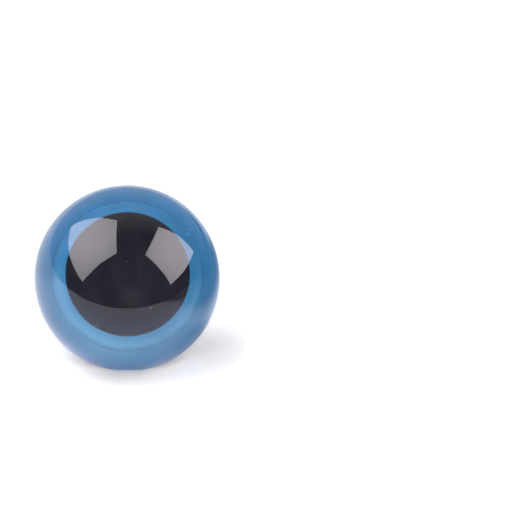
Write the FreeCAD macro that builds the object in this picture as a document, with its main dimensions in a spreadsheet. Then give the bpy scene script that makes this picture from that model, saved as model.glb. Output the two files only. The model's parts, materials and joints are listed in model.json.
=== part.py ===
"""A 24 mm safety eye for soft toys, in millimetres, lying on a table with its face up and forwards.

A clear half-ball dome is painted on its flat back and on the wall of a round recess. A black moulding fills the
recess, shows through the dome as the pupil, and carries on behind the back as a ribbed shank. A lock washer with
sprung fingers is pressed onto that shank and grips behind one of its ridges.

Every piece is drawn about the eye's own axis: height 0 is the flat back of the dome, the dome bulges towards plus Z
and the shank points towards minus Z. The eye is then leaned over onto the gate flat of its rim and the end of its
shank.
"""

import FreeCAD
import Part
import Sketcher

import os

FULL_TURN = 360.0
RIGHT_ANGLE = "90 deg"
SAME_PLACE = 0.001
MIDDLE = FreeCAD.Vector(0, 0, 0)
SIDEWAYS = FreeCAD.Vector(1, 0, 0)
SKETCH_NORMAL = FreeCAD.Vector(0, 0, 1)

# Driving sizes, each set by itself
DRIVING_SIZES = [
    ("dome_radius", 12.0, "outer radius of the clear dome"),
    ("rim_band", 0.4, "straight band of the dome next to its flat back"),
    ("rim_chamfer", 0.05, "chamfer of the dome's back edge"),
    ("gate_depth", 0.12, "depth of the flat where the moulded dome was cut from its gate"),
    ("recess_depth", 4.6, "depth of the blind recess in the dome's back"),
    ("pupil_radius", 6.85, "radius of the black head that fills the recess"),
    ("coat_thickness", 0.12, "thickness of the coloured coat on back and recess wall"),
    ("coat_margin", 0.5, "bare ring between the coat and the chamfered back edge"),
    ("flange_overhang", 1.35, "how far the seat flange reaches past the recess"),
    ("flange_thickness", 1.0, "thickness of the seat flange"),
    ("flange_chamfer", 0.3, "chamfer of the flange's outer back edge"),
    ("root_chamfer", 0.5, "sloping root where the shank leaves the flange"),
    ("core_radius", 2.55, "radius of the shank between its ridges"),
    ("collar_length", 2.1, "plain length of shank between flange and first ridge"),
    ("ridge_height", 0.5, "height of a ridge above the shank"),
    ("ridge_pitch", 1.3, "distance from one ridge to the next"),
    ("ridge_land", 0.15, "flat top of a ridge"),
    ("ridge_count", 7, "number of ridges"),
    ("tip_length", 1.4, "length of the tapered end of the shank"),
    ("tip_radius", 1.9, "radius of the shank where its taper ends"),
    ("tip_chamfer", 0.3, "chamfer of the shank's end"),
    ("lock_ridge", 1, "ridges in front of the one that holds the washer"),
    ("washer_inset", 0.2, "how far the lock washer stays inside the seat flange"),
    ("washer_web", 0.8, "thickness of the washer's flat web"),
    ("washer_rim_width", 0.9, "width of the washer's raised rim"),
    ("washer_rim_height", 1.2, "height of the washer's raised rim"),
    ("washer_chamfer", 0.25, "chamfer of the washer's outer edges"),
    ("hub_radius", 5.9, "outer radius of the washer's hub ring"),
    ("hub_height", 1.5, "height of the washer's hub ring"),
    ("finger_root_radius", 5.0, "radius where the sprung fingers leave the hub"),
    ("finger_thickness", 0.4, "thickness of a finger along the shank"),
    ("finger_rise", 0.9, "how far a finger leans back along the shank"),
    ("finger_count", 6, "number of fingers"),
    ("slot_width", 0.9, "width of the slot between two fingers"),
    ("grip_clearance", 0.05, "gap between a finger's end and the ramp under it"),
]

# Sizes that follow from the driving ones
DERIVED_SIZES = [
    ("recess_radius", "=pupil_radius + coat_thickness", "radius of the recess, coat included"),
    ("coat_radius", "=dome_radius - rim_chamfer - coat_margin", "outer radius of the coat"),
    ("flange_radius", "=pupil_radius + flange_overhang", "radius of the seat flange"),
    ("washer_radius", "=flange_radius - washer_inset", "outer radius of the lock washer"),
    ("crest_radius", "=core_radius + ridge_height", "radius over the ridges"),
    ("flange_back", "=coat_thickness + flange_thickness", "depth of the flange's back face"),
    ("collar_end", "=flange_back + collar_length", "depth of the first ridge's steep face"),
    ("ridges_end", "=collar_end + ridge_count * ridge_pitch", "depth where the taper starts"),
    ("ridges_run", "=(ridge_count - 1) * ridge_pitch", "distance from first ridge to last"),
    ("shank_end", "=ridges_end + tip_length", "depth of the shank's end"),
    ("lock_depth", "=collar_end + lock_ridge * ridge_pitch", "steep face that holds the washer"),
    ("finger_front", "=lock_depth - finger_thickness", "depth of a finger end's front face"),
    ("washer_front", "=finger_front - finger_rise", "depth of the washer's flat front"),
    ("web_back", "=washer_front + washer_web", "depth of the web's back face"),
    ("rim_back", "=washer_front + washer_rim_height", "depth of the raised rim's back face"),
    ("hub_back", "=washer_front + hub_height", "depth of the hub ring's back face"),
    ("finger_back", "=washer_front + finger_thickness", "depth of a finger's back at its root"),
    ("rim_inner_radius", "=washer_radius - washer_rim_width", "inner radius of the raised rim"),
    ("ramp_slope", "=ridge_height / (ridge_pitch - ridge_land)", "rise of a ridge's ramp"),
    ("grip_radius", "=core_radius + ramp_slope * finger_thickness + grip_clearance", "washer bore"),
    ("grip_land_radius", "=crest_radius + grip_clearance", "outer radius of a finger's flat end"),
]

# The eye rests on the back edge of its gate flat and the corner of its shank's end. The line through both is the
# table top: its angle to the axis is the lean of the eye
POSE_SIZES = [
    ("foot_depth", "=shank_end - tip_chamfer", "depth of the corner that the shank's end rests on"),
    ("rest_radius", "=dome_radius - gate_depth", "distance of the gate flat from the axis"),
    ("lean", "=atan((rest_radius - tip_radius) / foot_depth)", "angle of the lean"),
    ("face_turn", f"={RIGHT_ANGLE} - lean", "turn that brings the face forwards"),
    ("rest_height", "=rest_radius * cos(lean)", "height of the back's middle"),
    ("front_reach", "=dome_radius + rim_band * cos(lean)", "from the back's middle to the front"),
    ("end_radius", "=tip_radius - tip_chamfer", "radius of the shank's flat end"),
    ("rear_reach", "=shank_end * cos(lean) + end_radius * sin(lean)", "from there to the rear"),
    ("rest_middle", "=(front_reach - rear_reach) / 2", "puts the origin under the middle"),
]


def make_sheet(document):
    """The sheet of sizes, one row for each size, with its name, value and meaning."""
    sheet = document.addObject("Spreadsheet::Sheet", "Sizes")
    rows = DRIVING_SIZES + DERIVED_SIZES + POSE_SIZES
    for row, (name, size, meaning) in enumerate(rows, start=1):
        sheet.set(f"A{row}", name)
        sheet.set(f"B{row}", str(size))
        sheet.set(f"C{row}", meaning)
        sheet.setAlias(f"B{row}", name)
    document.recompute()
    return sheet


def value(sheet, expression):
    """The number that an expression of the sheet's sizes gives."""
    result = sheet.evalExpression(expression)
    return float(getattr(result, "Value", result))


def origin_feature(body, role):
    """One of the body's own planes or axes."""
    for feature in body.Origin.OriginFeatures:
        if feature.Role == role:
            return feature
    raise ValueError(f"{body.Label} has no {role}")


def new_body(document, label):
    """An empty body that leans with the eye, turned about the sideways axis."""
    body = document.addObject("PartDesign::Body", label)
    body.Label = label
    turn = FreeCAD.Rotation(SIDEWAYS, value(document.Sizes, "Sizes.face_turn"))
    body.Placement = FreeCAD.Placement(MIDDLE, turn)
    body.setExpression("Placement.Rotation.Angle", "Sizes.face_turn")
    body.setExpression("Placement.Base.y", "Sizes.rest_middle")
    body.setExpression("Placement.Base.z", "Sizes.rest_height")
    return body


def new_sketch(body, name, role):
    """A sketch on one of the body's own planes."""
    sketch = body.newObject("Sketcher::SketchObject", name)
    sketch.AttachmentSupport = [(origin_feature(body, role), "")]
    sketch.MapMode = "FlatFace"
    return sketch


def bind_point(sketch, line, point, across, along):
    """Hold one end of a line at a distance across and along the eye's axis."""
    sheet = sketch.Document.Sizes
    for kind, size in (("DistanceX", across), ("DistanceY", along)):
        held = Sketcher.Constraint(kind, -1, 1, line, point, value(sheet, size))
        index = sketch.addConstraint(held)
        sketch.setExpression(f"Constraints[{index}]", size)


def closed_outline(body, name, corners, plane="XZ_Plane"):
    """A closed outline whose corners are pairs of sizes: (radius, height) on the XZ plane, where pieces are turned."""
    sketch = new_sketch(body, name, plane)
    sheet = body.Document.Sizes
    places = [FreeCAD.Vector(value(sheet, r), value(sheet, z), 0) for r, z in corners]
    count = len(corners)
    for index in range(count):
        following = places[(index + 1) % count]
        sketch.addGeometry(Part.LineSegment(places[index], following), False)
    for index in range(count):
        following = (index + 1) % count
        sketch.addConstraint(Sketcher.Constraint("Coincident", index, 2, following, 1))
    for index, (radius, height) in enumerate(corners):
        bind_point(sketch, index, 1, radius, height)
    return sketch


def revolve(body, name, sketch):
    """Turn a half section about the eye's axis."""
    turned = body.newObject("PartDesign::Revolution", name)
    turned.Profile = sketch
    turned.ReferenceAxis = (sketch, ["V_Axis"])
    turned.Angle = FULL_TURN
    body.Document.recompute()
    return turned


def circular_edges(feature, radius, height):
    """Names of the feature's full round edges of one radius at one height."""
    names = []
    for number, edge in enumerate(feature.Shape.Edges, start=1):
        if edge.Degenerated or not isinstance(edge.Curve, Part.Circle):
            continue
        curve = edge.Curve
        same_radius = abs(curve.Radius - radius) < SAME_PLACE
        same_height = abs(curve.Center.z - height) < SAME_PLACE
        if same_radius and same_height:
            names.append(f"Edge{number}")
    return names


def chamfer_edges(body, name, rings, size):
    """Chamfer the round edges named by (radius, height) sizes, all with one size."""
    sheet = body.Document.Sizes
    base = body.Tip
    names = []
    for radius, height in rings:
        names += circular_edges(base, value(sheet, radius), value(sheet, height))
    if len(names) < len(rings):
        raise ValueError(f"{name} found {len(names)} of {len(rings)} edges")
    chamfer = body.newObject("PartDesign::Chamfer", name)
    chamfer.Base = (base, names)
    chamfer.setExpression("Size", size)
    body.Document.recompute()
    return chamfer


def make_dome(document):
    """The clear dome: half a ball on a short band, with a blind round recess in its flat back."""
    body = new_body(document, "dome_lens")
    sheet = document.Sizes
    radius = sheet.dome_radius
    band = sheet.rim_band
    sketch = new_sketch(body, "DomeSection", "XZ_Plane")
    rim = FreeCAD.Vector(radius, 0, 0)
    shoulder = FreeCAD.Vector(radius, band, 0)
    crown = FreeCAD.Vector(0, band + radius, 0)
    ball = Part.Circle(FreeCAD.Vector(0, band, 0), SKETCH_NORMAL, radius)
    first, last = ball.parameter(shoulder), ball.parameter(crown)
    back_line = sketch.addGeometry(Part.LineSegment(MIDDLE, rim), False)
    band_line = sketch.addGeometry(Part.LineSegment(rim, shoulder), False)
    skin_arc = sketch.addGeometry(Part.ArcOfCircle(ball, first, last), False)
    axis_line = sketch.addGeometry(Part.LineSegment(crown, MIDDLE), False)
    sketch.addConstraint(Sketcher.Constraint("Coincident", back_line, 1, -1, 1))
    sketch.addConstraint(Sketcher.Constraint("Coincident", back_line, 2, band_line, 1))
    sketch.addConstraint(Sketcher.Constraint("Coincident", skin_arc, 2, axis_line, 1))
    sketch.addConstraint(Sketcher.Constraint("Coincident", axis_line, 2, back_line, 1))
    sketch.addConstraint(Sketcher.Constraint("Tangent", band_line, 2, skin_arc, 1))
    sketch.addConstraint(Sketcher.Constraint("PointOnObject", skin_arc, 3, -2))
    sketch.addConstraint(Sketcher.Constraint("PointOnObject", skin_arc, 2, -2))
    bind_point(sketch, back_line, 2, "Sizes.dome_radius", "0")
    bind_point(sketch, band_line, 2, "Sizes.dome_radius", "Sizes.rim_band")
    revolve(body, "Dome", sketch)

    mouth = new_sketch(body, "RecessMouth", "XY_Plane")
    outline = Part.Circle(MIDDLE, SKETCH_NORMAL, sheet.recess_radius)
    mouth.addGeometry(outline, False)
    mouth.addConstraint(Sketcher.Constraint("Coincident", 0, 3, -1, 1))
    size = mouth.addConstraint(Sketcher.Constraint("Radius", 0, sheet.recess_radius))
    mouth.setExpression(f"Constraints[{size}]", "Sizes.recess_radius")
    recess = body.newObject("PartDesign::Pocket", "PupilRecess")
    recess.Profile = mouth
    recess.Reversed = True
    recess.setExpression("Length", "Sizes.recess_depth")
    document.recompute()
    back_edge = [("Sizes.dome_radius", "0")]
    chamfer_edges(body, "RimChamfer", back_edge, "Sizes.rim_chamfer")

    # The gate flat on the underside of the rim, on which the eye comes to rest
    gate = closed_outline(
        body,
        "GateOutline",
        [
            ("-Sizes.dome_radius", "-Sizes.rest_radius"),
            ("Sizes.dome_radius", "-Sizes.rest_radius"),
            ("Sizes.dome_radius", "-Sizes.dome_radius - Sizes.gate_depth"),
            ("-Sizes.dome_radius", "-Sizes.dome_radius - Sizes.gate_depth"),
        ],
        "XY_Plane",
    )
    flat = body.newObject("PartDesign::Pocket", "GateFlat")
    flat.Profile = gate
    flat.Type = "ThroughAll"
    flat.Reversed = True
    document.recompute()
    return body


def make_coat(document):
    """The coloured coat: a thin ring on the dome's back and a thin sleeve on the recess wall."""
    body = new_body(document, "iris_coat")
    section = closed_outline(
        body,
        "CoatSection",
        [
            ("Sizes.pupil_radius", "-Sizes.coat_thickness"),
            ("Sizes.coat_radius", "-Sizes.coat_thickness"),
            ("Sizes.coat_radius", "0"),
            ("Sizes.recess_radius", "0"),
            ("Sizes.recess_radius", "Sizes.recess_depth"),
            ("Sizes.pupil_radius", "Sizes.recess_depth"),
        ],
    )
    revolve(body, "Coat", section)
    return body


def make_pupil_shank(document):
    """The black moulding: pupil head, seat flange and ribbed shank in one piece."""
    body = new_body(document, "pupil_shank")
    section = closed_outline(
        body,
        "ShankSection",
        [
            ("0", "Sizes.recess_depth"),
            ("Sizes.pupil_radius", "Sizes.recess_depth"),
            ("Sizes.pupil_radius", "-Sizes.coat_thickness"),
            ("Sizes.flange_radius", "-Sizes.coat_thickness"),
            ("Sizes.flange_radius", "-Sizes.flange_back"),
            ("Sizes.core_radius", "-Sizes.flange_back"),
            ("Sizes.core_radius", "-Sizes.ridges_end"),
            ("Sizes.tip_radius", "-Sizes.foot_depth"),
            ("Sizes.end_radius", "-Sizes.shank_end"),
            ("0", "-Sizes.shank_end"),
        ],
    )
    revolve(body, "HeadAndShank", section)
    flange_edge = [("Sizes.flange_radius", "-Sizes.flange_back")]
    root_edge = [("Sizes.core_radius", "-Sizes.flange_back")]
    chamfer_edges(body, "FlangeChamfer", flange_edge, "Sizes.flange_chamfer")
    chamfer_edges(body, "RootChamfer", root_edge, "Sizes.root_chamfer")

    # One ridge: steep towards the eye, where the washer's fingers catch, and ramped towards the shank's end
    ridge_section = closed_outline(
        body,
        "RidgeSection",
        [
            ("Sizes.core_radius - Sizes.ridge_height", "-Sizes.collar_end"),
            ("Sizes.crest_radius", "-Sizes.collar_end"),
            ("Sizes.crest_radius", "-Sizes.collar_end - Sizes.ridge_land"),
            ("Sizes.core_radius", "-Sizes.collar_end - Sizes.ridge_pitch"),
            ("Sizes.core_radius - Sizes.ridge_height", "-Sizes.collar_end - Sizes.ridge_pitch"),
        ],
    )
    ridge = revolve(body, "Ridge", ridge_section)
    row = body.newObject("PartDesign::LinearPattern", "RidgeRow")
    row.Originals = [ridge]
    row.Direction = (origin_feature(body, "Z_Axis"), [""])
    row.Reversed = True
    row.setExpression("Length", "Sizes.ridges_run")
    row.setExpression("Occurrences", "Sizes.ridge_count")
    body.Tip = row
    document.recompute()
    return body


def make_washer(document):
    """The lock washer: a flat ring with a raised rim and hub, and sprung fingers that lean along the shank."""
    body = new_body(document, "lock_washer")
    sheet = document.Sizes
    section = closed_outline(
        body,
        "WasherSection",
        [
            ("Sizes.washer_radius", "-Sizes.washer_front"),
            ("Sizes.washer_radius", "-Sizes.rim_back"),
            ("Sizes.rim_inner_radius", "-Sizes.rim_back"),
            ("Sizes.rim_inner_radius", "-Sizes.web_back"),
            ("Sizes.hub_radius", "-Sizes.web_back"),
            ("Sizes.hub_radius", "-Sizes.hub_back"),
            ("Sizes.finger_root_radius", "-Sizes.hub_back"),
            ("Sizes.finger_root_radius", "-Sizes.finger_back"),
            ("Sizes.grip_land_radius", "-Sizes.lock_depth"),
            ("Sizes.grip_radius", "-Sizes.lock_depth"),
            ("Sizes.grip_radius", "-Sizes.finger_front"),
            ("Sizes.finger_root_radius", "-Sizes.washer_front"),
        ],
    )
    revolve(body, "WasherRing", section)
    outer_edges = [
        ("Sizes.washer_radius", "-Sizes.washer_front"),
        ("Sizes.washer_radius", "-Sizes.rim_back"),
    ]
    chamfer_edges(body, "WasherChamfer", outer_edges, "Sizes.washer_chamfer")

    # One slot with a round end, from the bore out to the hub
    half = sheet.slot_width / 2
    run = sheet.finger_root_radius - half
    slot = new_sketch(body, "SlotOutline", "XY_Plane")
    places = ((0, -half), (run, -half), (run, half), (0, half))
    corners = [FreeCAD.Vector(across, along, 0) for across, along in places]
    round_middle = FreeCAD.Vector(run, 0, 0)
    end_circle = Part.Circle(round_middle, SKETCH_NORMAL, half)
    first, last = end_circle.parameter(corners[1]), end_circle.parameter(corners[2])
    near = slot.addGeometry(Part.LineSegment(corners[0], corners[1]), False)
    end = slot.addGeometry(Part.ArcOfCircle(end_circle, first, last), False)
    far = slot.addGeometry(Part.LineSegment(corners[2], corners[3]), False)
    base = slot.addGeometry(Part.LineSegment(corners[3], corners[0]), False)
    slot.addConstraint(Sketcher.Constraint("Coincident", far, 2, base, 1))
    slot.addConstraint(Sketcher.Constraint("Coincident", base, 2, near, 1))
    slot.addConstraint(Sketcher.Constraint("Tangent", near, 2, end, 1))
    slot.addConstraint(Sketcher.Constraint("Tangent", end, 2, far, 1))
    bind_point(slot, near, 1, "0", "-Sizes.slot_width / 2")
    bind_point(slot, far, 2, "0", "Sizes.slot_width / 2")
    bind_point(slot, end, 3, "Sizes.finger_root_radius - Sizes.slot_width / 2", "0")
    cut = body.newObject("PartDesign::Pocket", "FingerSlot")
    cut.Profile = slot
    cut.Type = "ThroughAll"
    document.recompute()
    ring = body.newObject("PartDesign::PolarPattern", "FingerSlots")
    ring.Originals = [cut]
    ring.Axis = (origin_feature(body, "Z_Axis"), [""])
    ring.Angle = FULL_TURN
    ring.setExpression("Occurrences", "Sizes.finger_count")
    body.Tip = ring
    document.recompute()
    return body


def check(document, bodies):
    """Stop before anything is written when a feature failed or a piece isn't one sound solid."""
    for item in document.Objects:
        if "Invalid" in item.State or "Error" in item.State:
            raise ValueError(f"{item.Label} failed: {item.State}")
    for body in bodies:
        shape = body.Shape
        if shape.isNull() or not shape.isValid() or len(shape.Solids) != 1:
            raise ValueError(f"{body.Label} isn't one sound solid")


def main():
    document = FreeCAD.newDocument("safety_eye")
    make_sheet(document)
    bodies = [
        make_dome(document),
        make_coat(document),
        make_pupil_shank(document),
        make_washer(document),
    ]
    document.recompute()
    check(document, bodies)
    os.makedirs("parts", exist_ok=True)
    for body in bodies:
        body.Shape.exportStep(f"parts/{body.Label}.step")
        box = body.Shape.BoundBox
        print(body.Label, round(body.Shape.Volume, 3), box)


main()
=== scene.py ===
"""A clear safety eye with a blue painted back, lying on a white table under two square softboxes.

Lengths are in millimetres and become metres through MM. The eye is turned about its own axis: height 0 is the flat
back of the dome, the dome bulges towards plus and the shank points towards minus.
"""

import json
import math

import bmesh
import bpy
from mathutils import Matrix, Vector


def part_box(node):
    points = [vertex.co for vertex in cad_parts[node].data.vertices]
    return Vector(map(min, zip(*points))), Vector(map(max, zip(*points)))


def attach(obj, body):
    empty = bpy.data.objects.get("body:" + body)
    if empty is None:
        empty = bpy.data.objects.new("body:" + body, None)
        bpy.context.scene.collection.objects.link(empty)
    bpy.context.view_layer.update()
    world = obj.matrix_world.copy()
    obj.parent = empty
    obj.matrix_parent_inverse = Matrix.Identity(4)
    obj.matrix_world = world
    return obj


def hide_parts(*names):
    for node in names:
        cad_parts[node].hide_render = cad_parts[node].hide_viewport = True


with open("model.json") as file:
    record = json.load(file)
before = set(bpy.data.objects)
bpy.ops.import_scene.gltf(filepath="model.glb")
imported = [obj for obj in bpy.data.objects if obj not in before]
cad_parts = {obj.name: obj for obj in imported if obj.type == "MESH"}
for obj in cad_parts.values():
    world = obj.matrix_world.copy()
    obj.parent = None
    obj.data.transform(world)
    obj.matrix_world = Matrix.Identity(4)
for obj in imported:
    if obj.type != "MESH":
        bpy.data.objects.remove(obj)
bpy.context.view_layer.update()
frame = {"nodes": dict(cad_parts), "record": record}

MM = 0.001
MOUNTS = {mount["name"]: mount for mount in frame["record"]["mounts"]}

# Sizes of the eye, in millimetres
DOME_RADIUS = (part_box("dome_lens")[1].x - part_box("dome_lens")[0].x) / 2 / MM
RIM_BAND = 0.4
RIM_CHAMFER = 0.05
GATE_DEPTH = 0.12
RECESS_DEPTH = 4.6
PUPIL_RADIUS = 6.66
COAT_THICKNESS = 0.12
COAT_MARGIN = 0.5
FLANGE_RADIUS = (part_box("pupil_shank")[1].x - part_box("pupil_shank")[0].x) / 2 / MM
FLANGE_THICKNESS = 1.0
FLANGE_CHAMFER = 0.3
CORE_RADIUS = 2.55
COLLAR_LENGTH = 2.1
RIDGE_HEIGHT = 0.5
RIDGE_PITCH = 1.3
RIDGE_LAND = 0.15
RIDGE_COUNT = 7
ROOT_SLOPE = 0.5
TIP_LENGTH = 1.4
TIP_RADIUS = 1.9
TIP_CHAMFER = 0.3

# How finely round shapes are divided: faces of a full turn, and of the dome's outline from rim to crown
DOME_STEPS = 256
SHANK_STEPS = 192
CROWN_STEPS = 96

# Rounding of edges, in millimetres
RIM_ROUNDING = 0.015
CREST_ROUNDING = 0.05
TIP_ROUNDING = 0.08

# Points this close to a ring, in millimetres, lie on it, and points this close to each other, in metres, become one
RING_REACH = 0.002
WELD_REACH = 1e-8

# Corners that turn by more than this are shaded as corners
SHARP_ANGLE = math.radians(28)

# The coat and the pupil reach this far into the clear plastic, because paint and moulding are bonded to it
BOND = 0.01

# Depths behind the dome's flat back
RECESS_RADIUS = PUPIL_RADIUS + COAT_THICKNESS
COAT_RADIUS = DOME_RADIUS - RIM_CHAMFER - COAT_MARGIN
SEAT_DEPTH = COAT_THICKNESS + FLANGE_THICKNESS
COLLAR_END = SEAT_DEPTH + COLLAR_LENGTH
RIDGES_END = COLLAR_END + RIDGE_COUNT * RIDGE_PITCH
SHANK_END = RIDGES_END + TIP_LENGTH

# The eye's own axis and the middle of its flat back, from the frame
FACE = -Vector(MOUNTS["fabric_seat"]["axis"]).normalized()
BACK_MIDDLE = Vector(MOUNTS["shank_through_fabric"]["pos_m"]) + FACE * SEAT_DEPTH * MM
SIDE = Vector((1, 0, 0))
UP_ALONG_FACE = FACE.cross(SIDE)
TURN = Matrix((SIDE, UP_ALONG_FACE, FACE)).transposed().to_4x4()
PLACE = Matrix.Translation(BACK_MIDDLE) @ TURN
BALL_MIDDLE = BACK_MIDDLE + FACE * RIM_BAND * MM

# The photograph, in its own pixels
PHOTO_SIZE = 512
EYE_X, EYE_Y, EYE_WIDTH = 127.1, 278.1, 186.5
CAMERA_ELEVATION = math.radians(32)
CAMERA_AZIMUTH = math.radians(-1)
CAMERA_DISTANCE = 0.6
SENSOR_WIDTH = 36

# Lamps: the level that surfaces receive from each, how bright its mirror image is in the middle, and the share of that
# at its edge. Corners are in metres from the middle of the dome's ball.
LEFT_SOFTBOX_LEVEL = 2.4
RIGHT_SOFTBOX_LEVEL = 2.0
SOFTBOX_COLOUR = (1.0, 0.985, 1.0, 1)
SOFTBOX_IN_GLOSS = 7.4
SOFTBOX_EDGE_SHARE = 0.72
SOFTBOX_COLOUR_IN_GLOSS = (1.0, 0.94, 1.0, 1)
LEFT_SOFTBOX = ((-0.0754, 0.1379, 0.4479), (-0.1053, -0.2156, 0.4256), (-0.4773, -0.2824, 0.136),
                (-0.3704, 0.3314, 0.2177))
RIGHT_SOFTBOX = ((0.2373, 0.1203, 0.3727), (0.1687, -0.2141, 0.3947), (0.3929, -0.2775, 0.099),
                 (0.4444, 0.1477, 0.1161))

# The room as the dome mirrors it: dark before the table, with one faint glow low in it, and pale behind the table
ROOM_IN_FRONT = 0.02
ROOM_BEHIND = 0.7
ROOM_RIGHT_SHARE = 0.7
ROOM_GLOW = 0.26
ROOM_GLOW_WAY = (0.1, -0.98, 0.1)

# The table: its edges in metres, its colour for the light it throws back, and as the camera and the clear plastic see
# it. Close to the eye it is painted a little warmer and darker, a painted shade against the blue light that the iris
# throws on it.
TABLE_SIDE = 0.45
TABLE_FRONT = -0.137
TABLE_BACK = 0.6
TABLE_COLOUR = (0.85, 0.85, 0.86, 1)
TABLE_AS_BACKGROUND = (1.6, 1.59, 1.59, 1)
TABLE_PAINTED_SHADE_AT_CONTACT = (1.64, 1.43, 1.24, 1)

# The table in the dome's mirror: its level, and its colour from the front towards the eye
TABLE_IN_GLOSS = 2.0
TABLE_TINT_DEPTHS = (-0.06, 0.0)
TABLE_TINT_IN_GLOSS = ((0.0, (0.76, 0.765, 0.845)), (0.4, (0.75, 0.785, 0.99)), (0.75, (0.75, 0.785, 0.97)),
                       (1.0, (0.75, 0.75, 0.75)))

# The blue paint on its upper side, and on its lower side with a painted pool of the lamps' light, palest on the
# recess's wall. Place 0 is the front of the recess's wall, 0.5 its back and 1 the coat's outer edge.
PAINT_ABOVE = ((0.0, (0.034, 0.187, 0.37)), (0.45, (0.029, 0.185, 0.37)), (0.55, (0.028, 0.235, 0.465)),
               (0.8, (0.04, 0.25, 0.51)), (1.0, (0.048, 0.235, 0.48)))
PAINT_BELOW_WITH_PAINTED_LIGHT = ((0.0, (0.085, 0.31, 0.46)), (0.15, (0.125, 0.42, 0.58)), (0.35, (0.22, 0.6, 0.75)),
               (0.5, (0.17, 0.46, 0.63)), (0.62, (0.052, 0.25, 0.44)), (0.8, (0.042, 0.18, 0.365)),
               (0.95, (0.042, 0.135, 0.31)))

# The share of the lower side's colour with its painted light, from the highest point of the coat at 0 to the lowest at
# 1
PAINTED_LIGHT_SHARE = ((0.25, 0.0), (0.45, 0.11), (0.56, 0.24), (0.82, 0.51), (0.9, 0.59), (1.0, 0.96))

# The way from the coat's middle to its palest point, the middle of the painted light, as seen from the front:
# rightward and upward
PAINTED_LIGHT_WAY = (-0.105, -0.995)

# How strongly the clear plastic bends light
PLASTIC_IOR = 1.47


class Graph:
    """Short calls for building the nodes of a material or of the world."""

    def __init__(self, owner, shader="Principled BSDF"):
        owner.use_nodes = True
        self.tree = owner.node_tree
        self.shader = self.tree.nodes[shader]

    def node(self, kind, inputs=None, **settings):
        made = self.tree.nodes.new(kind)
        for key, setting in settings.items():
            setattr(made, key, setting)
        for key, given in (inputs or {}).items():
            self.give(made.inputs[key], given)
        return made

    def give(self, socket, given):
        """Link another node's output to a socket, or set the socket's own value."""
        if isinstance(given, bpy.types.NodeSocket):
            self.tree.links.new(given, socket)
        else:
            socket.default_value = given

    def set(self, **inputs):
        """Inputs of the shader, by their names with _ for each space."""
        for key, given in inputs.items():
            self.give(self.shader.inputs[key.replace("_", " ")], given)

    def on_eye(self):
        """Coordinates in millimetres about the eye's own axis."""
        place = self.node("ShaderNodeTexCoord")
        turned = self.node(
            "ShaderNodeMapping",
            {
                "Vector": place.outputs["Object"],
                "Location": BACK_MIDDLE,
                "Rotation": TURN.to_euler(),
                "Scale": (MM, MM, MM),
            },
            vector_type="TEXTURE",
        )
        return turned.outputs["Vector"]

    def math(self, operation, *numbers):
        return self.node("ShaderNodeMath", dict(enumerate(numbers)), operation=operation).outputs[0]

    def add(self, first, second):
        return self.math("ADD", first, second)

    def times(self, first, *others):
        for other in others:
            first = self.math("MULTIPLY", first, other)
        return first

    def scaled(self, vector, amount):
        inputs = {0: vector, "Scale": amount}
        return self.node("ShaderNodeVectorMath", inputs, operation="SCALE").outputs["Vector"]

    def span(self, source, low, high, start=0.0, end=1.0, smooth=True):
        """source from low to high becomes start to end."""
        kind = "SMOOTHSTEP" if smooth else "LINEAR"
        inputs = {"Value": source, "From Min": low, "From Max": high, "To Min": start, "To Max": end}
        return self.node("ShaderNodeMapRange", inputs, interpolation_type=kind).outputs["Result"]

    def noise(self, where, scale, detail=3.0, roughness=0.5):
        inputs = {"Vector": where, "Scale": scale, "Detail": detail, "Roughness": roughness}
        return self.node("ShaderNodeTexNoise", inputs).outputs["Fac"]

    def blend(self, factor, first, second):
        """first at factor 0, second at factor 1."""
        return self.node("ShaderNodeMix", {0: factor, 6: first, 7: second}, data_type="RGBA").outputs[2]

    def ramp(self, factor, stops):
        """Colours at places from 0 to 1."""
        made = self.node("ShaderNodeValToRGB", {"Fac": factor})
        while len(made.color_ramp.elements) < len(stops):
            made.color_ramp.elements.new(0.5)
        for element, (place, colour) in zip(made.color_ramp.elements, stops):
            element.position = place
            element.color = (*colour, 1)
        return made.outputs["Color"]

    def apart(self, where):
        """The three numbers of a vector, and its distance from the vertical axis."""
        parts = self.node("ShaderNodeSeparateXYZ", {0: where}).outputs
        squares = self.add(self.times(parts["X"], parts["X"]), self.times(parts["Y"], parts["Y"]))
        return parts["X"], parts["Y"], parts["Z"], self.math("SQRT", squares)

    def near(self, where, place, inner, outer, inside, outside):
        """A soft round patch: inside within inner of the place, outside beyond outer."""
        distance = self.node("ShaderNodeVectorMath", {0: where, 1: place}, operation="DISTANCE").outputs["Value"]
        return self.span(distance, inner, outer, inside, outside)

    def bump(self, height, strength, distance):
        inputs = {"Height": height, "Strength": strength, "Distance": distance}
        self.set(Normal=self.node("ShaderNodeBump", inputs).outputs["Normal"])


def clear_plastic():
    """Polished clear plastic: faint waves from the mould, and a few fine specks and rubs that scatter light."""
    finish = bpy.data.materials.new("clear_plastic")
    graph = Graph(finish)
    graph.set(Base_Color=(1, 1, 1, 1), IOR=PLASTIC_IOR, Transmission_Weight=1.0)
    where = graph.on_eye()
    cells = graph.node("ShaderNodeTexVoronoi", {"Vector": where, "Scale": 0.6}).outputs
    some = graph.span(graph.node("ShaderNodeSeparateXYZ", {0: cells["Color"]}).outputs["X"], 0.5, 0.55)
    speck = graph.times(graph.span(cells["Distance"], 0.025, 0.055, 1.0, 0.0), some)
    rubs = graph.span(graph.noise(where, 0.35, 5.0, 0.6), 0.62, 0.75)
    graph.set(Roughness=graph.add(graph.times(speck, 0.6), graph.times(rubs, 0.05)))
    waves = graph.noise(where, 0.35, 1.0)
    height = graph.add(graph.times(waves, 0.6), graph.times(speck, 0.012))
    graph.bump(height, 0.25, 0.00006)
    return finish


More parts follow.
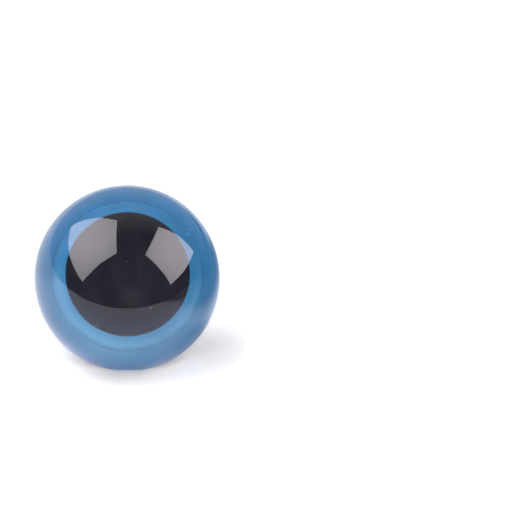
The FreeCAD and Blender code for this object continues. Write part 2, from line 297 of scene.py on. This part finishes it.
def blue_paint():
    """Paint as seen through the dome. It has no gloss of its own, because it is bonded to the clear plastic.

    The side that lies lower is painted paler: a painted pool of the lamps' light, where the dome gathers it.
    """
    finish = bpy.data.materials.new("blue_paint")
    graph = Graph(finish)
    graph.set(Roughness=0.6, Specular_IOR_Level=0.0)
    where = graph.on_eye()
    side, upward, height, radius = graph.apart(where)
    down_wall = graph.span(height, 0.0, RECESS_DEPTH, 0.5, 0.0, smooth=False)
    outward = graph.span(radius, RECESS_RADIUS, COAT_RADIUS, 0.0, 0.5, smooth=False)
    along = graph.add(down_wall, outward)
    upper = graph.ramp(along, PAINT_ABOVE)
    # The lower side's colour, with the painted pool of light
    lower = graph.ramp(along, PAINT_BELOW_WITH_PAINTED_LIGHT)
    downward = graph.add(graph.times(side, PAINTED_LIGHT_WAY[0]), graph.times(upward, PAINTED_LIGHT_WAY[1]))
    lowness = graph.span(graph.math("DIVIDE", downward, radius), -1.0, 1.0, smooth=False)
    share = graph.ramp(lowness, [(place, (level, level, level)) for place, level in PAINTED_LIGHT_SHARE])
    colour = graph.blend(share, upper, lower)
    clouds = graph.span(graph.noise(where, 0.45, 3.0), 0.3, 0.7, 0.96, 1.04)
    grain = graph.span(graph.noise(where, 14.0, 2.0), 0.3, 0.7, 0.97, 1.03)
    worn = graph.node("ShaderNodeHueSaturation", {"Color": colour, "Value": graph.times(clouds, grain)})
    graph.set(Base_Color=worn.outputs["Color"])
    return finish


def black_head():
    """The black moulding where it is bonded into the dome, with faint flow marks from the moulding."""
    finish = bpy.data.materials.new("black_head")
    graph = Graph(finish)
    graph.set(Roughness=0.6, Specular_IOR_Level=0.0)
    where = graph.on_eye()
    stretched = graph.node("ShaderNodeMapping", {"Vector": where, "Scale": (1.0, 0.35, 1.0)}).outputs["Vector"]
    flow = graph.span(graph.noise(stretched, 0.5, 4.0, 0.6), 0.35, 0.75)
    grain = graph.noise(where, 6.0, 3.0)
    mark = graph.times(flow, graph.span(grain, 0.3, 0.7, 0.6, 1.0))
    colour = graph.blend(mark, (0.014, 0.0145, 0.0195, 1), (0.023, 0.0235, 0.031, 1))
    graph.set(Base_Color=colour)
    return finish


def black_plastic():
    """The black moulding in the open: fine grain, a parting line on two sides, and ridges rubbed at their crests."""
    finish = bpy.data.materials.new("black_plastic")
    graph = Graph(finish)
    where = graph.on_eye()
    side, _, height, radius = graph.apart(where)
    patches = graph.noise(where, 0.8, 4.0, 0.6)
    grain = graph.noise(where, 9.0, 3.0)
    on_shank = graph.span(height, -SEAT_DEPTH - 0.6, -SEAT_DEPTH - 0.3, 1.0, 0.0)
    crest = graph.span(radius, CORE_RADIUS + 0.3, CORE_RADIUS + RIDGE_HEIGHT, 0.0, 1.0)
    rubbed = graph.times(crest, on_shank, graph.span(patches, 0.4, 0.6, 0.15, 0.8))
    colour = graph.blend(rubbed, (0.012, 0.012, 0.014, 1), (0.05, 0.05, 0.054, 1))
    graph.set(Base_Color=colour)
    sheen = graph.span(patches, 0.3, 0.7, 0.24, 0.38)
    graph.set(Roughness=graph.add(sheen, graph.times(rubbed, 0.2)))
    seam = graph.span(graph.math("ABSOLUTE", side), 0.03, 0.08, 1.0, 0.0)
    graph.bump(graph.add(graph.times(seam, 0.5), graph.times(grain, 0.12)), 0.5, 0.00005)
    return finish


def washer_plastic():
    """Natural white plastic, slightly milky, with moulding grain."""
    finish = bpy.data.materials.new("washer_plastic")
    graph = Graph(finish)
    graph.set(Subsurface_Weight=0.25, Subsurface_Scale=0.001)
    where = graph.on_eye()
    clouds = graph.noise(where, 0.6, 3.0)
    grain = graph.noise(where, 7.0, 3.0)
    colour = graph.blend(graph.span(clouds, 0.3, 0.7), (0.68, 0.685, 0.66, 1), (0.76, 0.76, 0.74, 1))
    graph.set(Base_Color=colour)
    graph.set(Roughness=graph.span(clouds, 0.3, 0.7, 0.36, 0.48))
    graph.bump(grain, 0.35, 0.00003)
    return finish


def spun(outline, steps=SHANK_STEPS):
    """A closed shape turned about the eye's axis from a half section of (radius, height) points."""
    shape = bmesh.new()
    points = [shape.verts.new((r * MM, 0, h * MM)) for r, h in outline]
    closing = points[:1] if outline[0][0] > 0 else []
    for start, end in zip(points, points[1:] + closing):
        shape.edges.new((start, end))
    bmesh.ops.spin(
        shape,
        geom=shape.verts[:] + shape.edges[:],
        axis=(0, 0, 1),
        cent=(0, 0, 0),
        steps=steps,
        angle=2 * math.pi,
        use_merge=True,
    )
    bmesh.ops.remove_doubles(shape, verts=shape.verts[:], dist=WELD_REACH)
    bmesh.ops.recalc_face_normals(shape, faces=shape.faces[:])
    return shape


def soften(shape, rings, size, segments=3):
    """Round the ring edges at the given (radius, height) places."""

    def on_ring(vertex, radius, height):
        out = math.hypot(vertex.co.x, vertex.co.y) / MM
        return abs(out - radius) < RING_REACH and abs(vertex.co.z / MM - height) < RING_REACH

    edges = [e for e in shape.edges for r, h in rings if on_ring(e.verts[0], r, h) and on_ring(e.verts[1], r, h)]
    bmesh.ops.bevel(
        shape,
        geom=edges,
        offset=size * MM,
        segments=segments,
        profile=0.5,
        affect="EDGES",
        material=-1,
    )


def shade(shape):
    """Smooth faces, with the real corners kept sharp."""
    for face in shape.faces:
        face.smooth = True
    for edge in shape.edges:
        edge.smooth = edge.calc_face_angle(0) < SHARP_ANGLE


def placed(name, shape, *finishes):
    """Set a shape at its place on the eye and give it its finishes."""
    shade(shape)
    bmesh.ops.transform(shape, matrix=PLACE, verts=shape.verts[:])
    mesh = bpy.data.meshes.new(name)
    shape.to_mesh(mesh)
    shape.free()
    for finish in finishes:
        mesh.materials.append(finish)
    piece = bpy.data.objects.new(name, mesh)
    bpy.context.scene.collection.objects.link(piece)
    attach(piece, "root")
    return piece


def arc(centre_height, radius, start, end, count):
    """Points of a round stretch of an outline, by angle from the flat back, in degrees."""
    angles = [math.radians(start + (end - start) * step / count) for step in range(count + 1)]
    return [(radius * math.cos(a), centre_height + radius * math.sin(a)) for a in angles]


def make_dome():
    crown = arc(RIM_BAND, DOME_RADIUS, 0, 90, CROWN_STEPS)
    outline = [(0, RECESS_DEPTH - BOND)]
    outline += [(RECESS_RADIUS - BOND, RECESS_DEPTH - BOND), (RECESS_RADIUS - BOND, -BOND)]
    outline += [(DOME_RADIUS - RIM_CHAMFER, -BOND), (DOME_RADIUS, RIM_CHAMFER)]
    outline += crown[:-1] + [(0, RIM_BAND + DOME_RADIUS)]
    shape = spun(outline, steps=DOME_STEPS)
    soften(shape, [(DOME_RADIUS - RIM_CHAMFER, -BOND), (DOME_RADIUS, RIM_CHAMFER)], RIM_ROUNDING)
    cut_gate_flat(shape)
    piece = placed("clear_dome", shape, clear_plastic())
    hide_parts("dome_lens")


def cut_gate_flat(shape):
    """The flat under the rim, where the moulding was cut from its gate and on which the eye lies."""
    cut = bmesh.ops.bisect_plane(
        shape,
        geom=shape.verts[:] + shape.edges[:] + shape.faces[:],
        dist=WELD_REACH,
        plane_co=(0, (GATE_DEPTH - DOME_RADIUS) * MM, 0),
        plane_no=(0, -1, 0),
        clear_outer=True,
    )
    rim = [part for part in cut["geom_cut"] if isinstance(part, bmesh.types.BMEdge)]
    bmesh.ops.holes_fill(shape, edges=rim, sides=0)
    bmesh.ops.recalc_face_normals(shape, faces=shape.faces[:])


def make_coat():
    outline = [(PUPIL_RADIUS, -COAT_THICKNESS), (COAT_RADIUS, -COAT_THICKNESS), (COAT_RADIUS, 0)]
    outline += [(RECESS_RADIUS, 0), (RECESS_RADIUS, RECESS_DEPTH), (PUPIL_RADIUS, RECESS_DEPTH)]
    piece = placed("painted_iris", spun(outline), blue_paint())
    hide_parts("iris_coat")


def make_pupil_shank():
    outline = [(0, RECESS_DEPTH), (PUPIL_RADIUS, RECESS_DEPTH), (PUPIL_RADIUS, -COAT_THICKNESS)]
    outline += [(FLANGE_RADIUS, -COAT_THICKNESS), (FLANGE_RADIUS, -SEAT_DEPTH)]
    outline += [(CORE_RADIUS, -SEAT_DEPTH)]
    crests = []
    for ridge in range(RIDGE_COUNT):
        steep = -COLLAR_END - ridge * RIDGE_PITCH
        crests += [(CORE_RADIUS + RIDGE_HEIGHT, steep), (CORE_RADIUS + RIDGE_HEIGHT, steep - RIDGE_LAND)]
        outline += [(CORE_RADIUS, steep)] + crests[-2:]
    tip = [(TIP_RADIUS, -SHANK_END + TIP_CHAMFER), (TIP_RADIUS - TIP_CHAMFER, -SHANK_END)]
    outline += [(CORE_RADIUS, -RIDGES_END)] + tip + [(0, -SHANK_END)]
    shape = spun(outline)
    soften(shape, [(FLANGE_RADIUS, -SEAT_DEPTH)], FLANGE_CHAMFER, segments=4)
    soften(shape, [(CORE_RADIUS, -SEAT_DEPTH)], ROOT_SLOPE, segments=4)
    soften(shape, crests, CREST_ROUNDING, segments=2)
    soften(shape, tip, TIP_ROUNDING)
    piece = placed("pupil_and_shank", shape, black_head(), black_plastic())
    for face in piece.data.polygons:
        behind = (PLACE.inverted() @ face.center).z < -0.5 * COAT_THICKNESS * MM
        face.material_index = 1 if behind else 0
    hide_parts("pupil_shank")


def finish_lock_washer():
    """The washer keeps its CAD mesh and gets a new finish."""
    slots = frame["nodes"]["lock_washer"].data.materials
    slots.clear()
    slots.append(washer_plastic())


def stage_mesh(name, corners, finish):
    """A flat sheet of the studio, which isn't part of the eye."""
    shape = bmesh.new()
    shape.faces.new([shape.verts.new(corner) for corner in corners])
    mesh = bpy.data.meshes.new(name)
    shape.to_mesh(mesh)
    shape.free()
    mesh.materials.append(finish)
    sheet = bpy.data.objects.new(name, mesh)
    bpy.context.scene.collection.objects.link(sheet)
    return sheet


def make_table():
    """A white table whose front edge shows in the dome. It is the pure white background, and keeps the shadow.

    In the dome's mirror it has painted shade under the eye, behind it and at the right, and painted light just before
    the eye. Where the camera sees it, it has a painted shadow to the right of the eye and a painted warm shade at the
    eye's foot. Places are in metres.
    """
    finish = bpy.data.materials.new("white_table")
    graph = Graph(finish)
    graph.set(Roughness=0.7, Specular_IOR_Level=0.0)
    place = graph.node("ShaderNodeTexCoord").outputs["Object"]
    rays = graph.node("ShaderNodeLightPath").outputs
    _, depth, _, _ = graph.apart(place)

    # Painted warm shade at the eye's foot, against the blue light that the iris throws on the table
    painted_contact_shade = graph.near(place, (0, -0.006, 0), 0.001, 0.009, 1.0, 0.0)
    # Painted shadow to the right of the eye, in the colour the camera and the clear plastic see
    shadow = graph.near(place, (0.0085, -0.0035, 0), 0.003, 0.009, 0.88, 1.0)
    background = graph.scaled(graph.blend(painted_contact_shade, TABLE_AS_BACKGROUND, TABLE_PAINTED_SHADE_AT_CONTACT), shadow)
    seen = graph.math("MAXIMUM", rays["Is Transmission Ray"], rays["Is Camera Ray"])
    plain = graph.blend(seen, TABLE_COLOUR, background)

    # In the dome's mirror: painted shade behind the eye, at the right and under the eye, and painted light just before
    # it
    behind = graph.span(depth, 0.0, 0.03, 1.0, 0.64)
    before = graph.span(depth, -0.04, -0.018, 1.02, 1.3)
    far_right = graph.near(place, (0.35, 0.06, 0), 0.285, 0.31, 0.2, 1.0)
    near_right = graph.near(place, (0.066, 0.014, 0), 0.036, 0.054, 0.2, 1.0)
    right = graph.math("MINIMUM", far_right, near_right)
    under = graph.near(place, (0.001, -0.004, 0), 0.003, 0.01, 0.55, 1.0)
    shaded = graph.near(place, (0.011, -0.004, 0), 0.002, 0.009, 0.44, 1.0)
    level = graph.times(behind, before, right, under, shaded, TABLE_IN_GLOSS)
    tint = graph.ramp(graph.span(depth, *TABLE_TINT_DEPTHS, smooth=False), TABLE_TINT_IN_GLOSS)
    colour = graph.blend(rays["Is Glossy Ray"], plain, graph.scaled(tint, level))
    graph.set(Base_Color=colour)

    front = [(-TABLE_SIDE, TABLE_FRONT, 0), (TABLE_SIDE, TABLE_FRONT, 0)]
    back = [(TABLE_SIDE, TABLE_BACK, 0), (-TABLE_SIDE, TABLE_BACK, 0)]
    stage_mesh("table", front + back, finish)


def make_softbox(name, level, corners):
    """A square lamp. Its level on surfaces is plain, and its mirror image in polished plastic is bright."""
    corners = [BALL_MIDDLE + Vector(corner) for corner in corners]
    finish = bpy.data.materials.new(name)
    graph = Graph(finish)
    graph.tree.nodes.remove(graph.shader)
    glossy = graph.node("ShaderNodeLightPath").outputs["Is Glossy Ray"]
    place = graph.node("ShaderNodeTexCoord").outputs["Object"]
    middle = sum(corners, Vector()) / len(corners)
    mirrored = graph.near(place, middle, 0.04, 0.3, SOFTBOX_IN_GLOSS, SOFTBOX_EDGE_SHARE * SOFTBOX_IN_GLOSS)
    strength = graph.span(glossy, 0.0, 1.0, level, mirrored, smooth=False)
    colour = graph.blend(glossy, SOFTBOX_COLOUR, SOFTBOX_COLOUR_IN_GLOSS)
    glow = graph.node("ShaderNodeEmission", {"Color": colour, "Strength": strength})
    graph.give(graph.tree.nodes["Material Output"].inputs["Surface"], glow.outputs[0])
    sheet = stage_mesh(name, corners, finish)
    sheet.visible_camera = False


def make_lights():
    make_softbox("left_softbox", LEFT_SOFTBOX_LEVEL, LEFT_SOFTBOX)
    make_softbox("right_softbox", RIGHT_SOFTBOX_LEVEL, RIGHT_SOFTBOX)


def make_world():
    """White to the camera. To the rest it is dark in front, with a faint glow, and pale behind."""
    world = bpy.data.worlds.new("studio")
    bpy.context.scene.world = world
    graph = Graph(world, shader="Background")
    way = graph.node("ShaderNodeTexCoord").outputs["Generated"]
    right, backward, _, _ = graph.apart(way)
    fade = graph.span(backward, 0.0, 0.5, ROOM_IN_FRONT, ROOM_BEHIND, smooth=False)
    fade = graph.times(fade, graph.span(right, 0.1, 0.7, 1.0, ROOM_RIGHT_SHARE, smooth=False))
    room = graph.add(fade, graph.near(way, ROOM_GLOW_WAY, 0.05, 0.4, ROOM_GLOW, 0.0))
    by_camera = graph.node("ShaderNodeLightPath").outputs["Is Camera Ray"]
    strength = graph.node("ShaderNodeMix", {"Factor": by_camera, "A": room, "B": 1.0}).outputs["Result"]
    graph.set(Color=(1, 1, 1, 1), Strength=strength)


def make_camera():
    """The photograph's angle and framing: a camera straight before the eye, turned to set the eye at its place."""
    pixel = 2 * DOME_RADIUS * MM / EYE_WIDTH
    level = Vector((math.sin(CAMERA_AZIMUTH), -math.cos(CAMERA_AZIMUTH), 0))
    back = level * math.cos(CAMERA_ELEVATION) + Vector((0, 0, math.sin(CAMERA_ELEVATION)))
    side = Vector((0, 0, 1)).cross(back).normalized()
    up = back.cross(side)
    middle = PHOTO_SIZE / 2
    place = BALL_MIDDLE + back * CAMERA_DISTANCE
    aim = BALL_MIDDLE + side * (middle - EYE_X) * pixel + up * (EYE_Y - middle) * pixel
    look = (aim - place).normalized()
    across = look.cross(up).normalized()
    lens = bpy.data.cameras.new("camera")
    lens.sensor_width = SENSOR_WIDTH
    lens.lens = SENSOR_WIDTH * CAMERA_DISTANCE / (PHOTO_SIZE * pixel)
    lens.clip_start = 0.01
    camera = bpy.data.objects.new("camera", lens)
    camera.location = place
    camera.rotation_euler = Matrix((across, across.cross(look), -look)).transposed().to_euler()
    bpy.context.scene.collection.objects.link(camera)
    bpy.context.scene.camera = camera


make_dome()
make_coat()
make_pupil_shank()
finish_lock_washer()
make_table()
make_lights()
make_world()
make_camera()
bpy.context.scene.view_settings.view_transform = "Standard"
